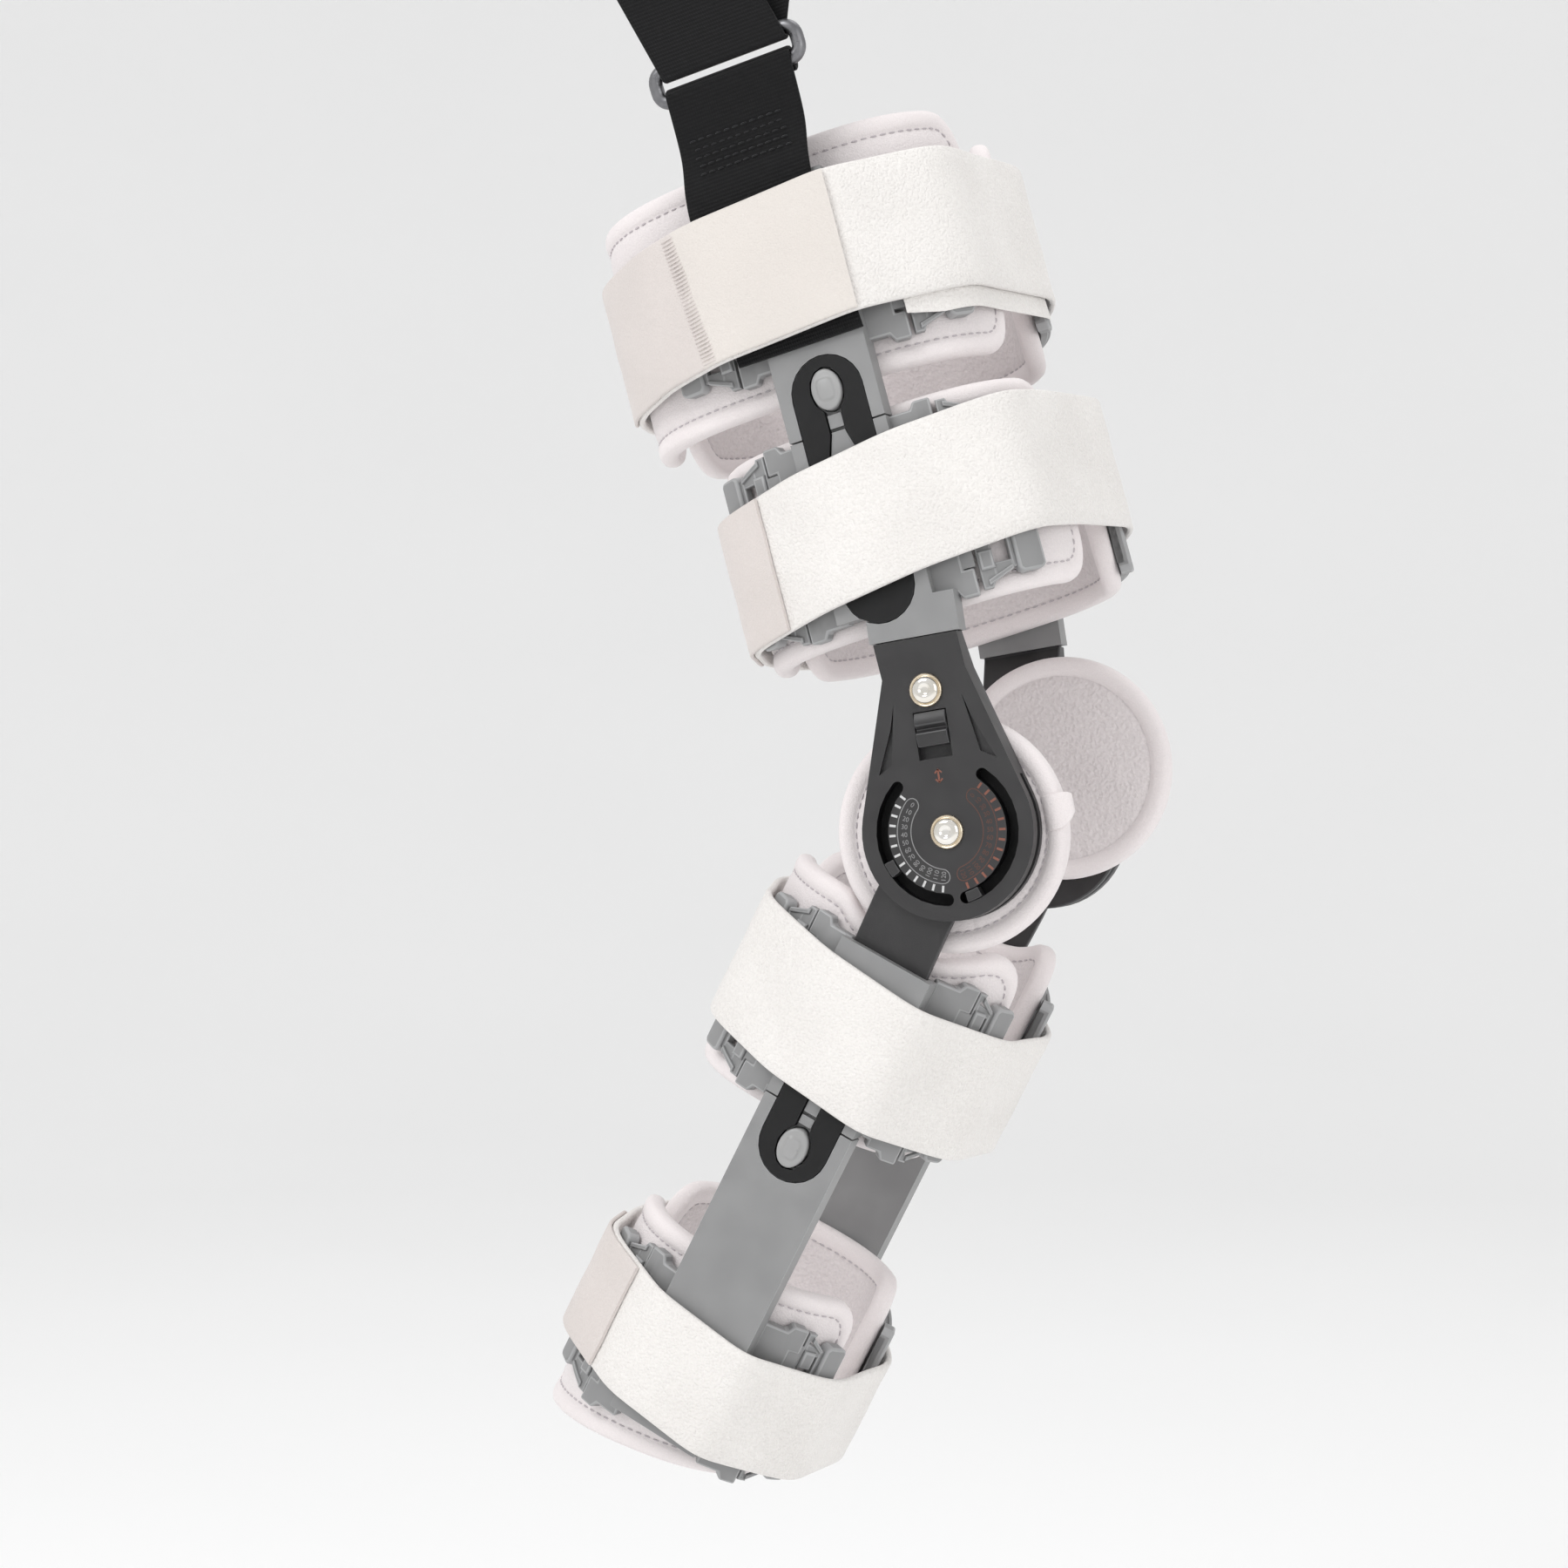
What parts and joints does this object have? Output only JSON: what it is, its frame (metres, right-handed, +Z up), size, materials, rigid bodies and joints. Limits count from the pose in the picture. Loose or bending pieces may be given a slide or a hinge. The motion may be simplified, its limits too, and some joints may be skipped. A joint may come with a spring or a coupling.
{
  "type": "hinged knee brace",
  "caption": "Hinged knee brace for the right leg: padded thigh and calf cuffs with straps on telescopic side bars, joined by dial-stop hinges at the knee.",
  "frame": {"origin": "knee axis, midway between the outer and the inner hinge, where the knee sits", "axes": "+X forward, +Y towards the inner side of the leg, +Z up with the wearer standing"},
  "size_m": [0.2309, 0.1765, 0.5858],
  "materials": {
    "pad": "pale grey padded loop fabric with a stitched binding",
    "strap": "off-white foam-backed loop strap, fine grain",
    "strap_tab": "beige hook tab, smooth face",
    "plate": "mid-grey satin moulding",
    "slide": "near-black satin moulding",
    "button": "light grey satin moulding",
    "hinge": "charcoal satin moulding",
    "arm": "charcoal satin coat",
    "screw": "bright plated steel",
    "webbing": "black woven nylon webbing",
    "ring": "satin grey metal"
  },
  "bodies": {
    "thigh": {"lateral_lower_thigh_pad": "pad", "lateral_lower_thigh_front_wing": "plate", "lateral_lower_thigh_back_wing": "plate", "lateral_lower_thigh_plate": "plate", "medial_lower_thigh_pad": "pad", "medial_lower_thigh_front_wing": "plate", "medial_lower_thigh_back_wing": "plate", "medial_lower_thigh_plate": "plate", "lower_thigh_strap": "strap", "lower_thigh_strap_tab": "strap_tab", "lateral_hinge_housing": "hinge", "lateral_knee_pad": "pad", "lateral_pivot_screw": "screw", "medial_hinge_housing": "hinge", "medial_knee_pad": "pad", "medial_pivot_screw": "screw", "lateral_upper_screw": "screw"},
    "thigh_cuff": {"lateral_upper_thigh_pad": "pad", "lateral_upper_thigh_front_wing": "plate", "lateral_upper_thigh_back_wing": "plate", "lateral_upper_thigh_plate": "plate", "medial_upper_thigh_pad": "pad", "medial_upper_thigh_front_wing": "plate", "medial_upper_thigh_back_wing": "plate", "medial_upper_thigh_plate": "plate", "upper_thigh_strap": "strap", "upper_thigh_strap_tab": "strap_tab", "lateral_thigh_slide": "slide", "medial_thigh_slide": "slide", "suspension_webbing_lower": "webbing", "suspension_webbing_upper": "webbing", "suspension_ring": "ring"},
    "calf": {"lateral_upper_calf_pad": "pad", "lateral_upper_calf_front_wing": "plate", "lateral_upper_calf_back_wing": "plate", "lateral_upper_calf_plate": "plate", "medial_upper_calf_pad": "pad", "medial_upper_calf_front_wing": "plate", "medial_upper_calf_back_wing": "plate", "medial_upper_calf_plate": "plate", "upper_calf_strap": "strap", "lateral_hinge_arm": "arm", "medial_hinge_arm": "arm"},
    "calf_cuff": {"lateral_lower_calf_pad": "pad", "lateral_lower_calf_front_wing": "plate", "lateral_lower_calf_back_wing": "plate", "lateral_lower_calf_plate": "plate", "medial_lower_calf_pad": "pad", "medial_lower_calf_front_wing": "plate", "medial_lower_calf_back_wing": "plate", "medial_lower_calf_plate": "plate", "lower_calf_strap": "strap", "lower_calf_strap_tab": "strap_tab", "lateral_calf_slide": "slide", "medial_calf_slide": "slide"},
    "thigh_button": {"lateral_thigh_button": "button"},
    "calf_button": {"lateral_calf_button": "button"},
    "lock_slider": {"lateral_lock_slider": "hinge"},
    "extension_key": {"lateral_extension_key": "hinge"},
    "flexion_key": {"lateral_flexion_key": "hinge"}
  },
  "joints": [
    {"name": "knee_flexion", "type": "hinge", "parent": "thigh", "child": "calf", "pos_m": [0, 0, 0], "axis": [0, 1, 0], "range_deg": [-42.8, 47.2]},
    {"name": "thigh_telescope", "type": "slide", "parent": "thigh", "child": "thigh_cuff", "axis": [-0.2656, 0, 0.9641], "range_m": [0, 0.045]},
    {"name": "calf_telescope", "type": "slide", "parent": "calf", "child": "calf_cuff", "axis": [-0.4602, 0, -0.8878], "range_m": [0, 0.04]},
    {"name": "thigh_button_press", "type": "slide", "parent": "thigh_cuff", "child": "thigh_button", "axis": [0, 1, 0], "range_m": [0, 0.0015], "stiffness_N_per_m": 400},
    {"name": "calf_button_press", "type": "slide", "parent": "calf_cuff", "child": "calf_button", "axis": [0, 1, 0], "range_m": [0, 0.0015], "stiffness_N_per_m": 400},
    {"name": "lock_slide", "type": "slide", "parent": "thigh", "child": "lock_slider", "axis": [0.1547, 0, -0.988], "range_m": [0, 0.004]},
    {"name": "extension_stop", "type": "hinge", "parent": "thigh", "child": "extension_key", "pos_m": [0, -0.068, 0], "axis": [0, 1, 0], "range_deg": [-54, 68]},
    {"name": "flexion_stop", "type": "hinge", "parent": "thigh", "child": "flexion_key", "pos_m": [0, -0.068, 0], "axis": [0, 1, 0], "range_deg": [-119, 3]}
  ]
}
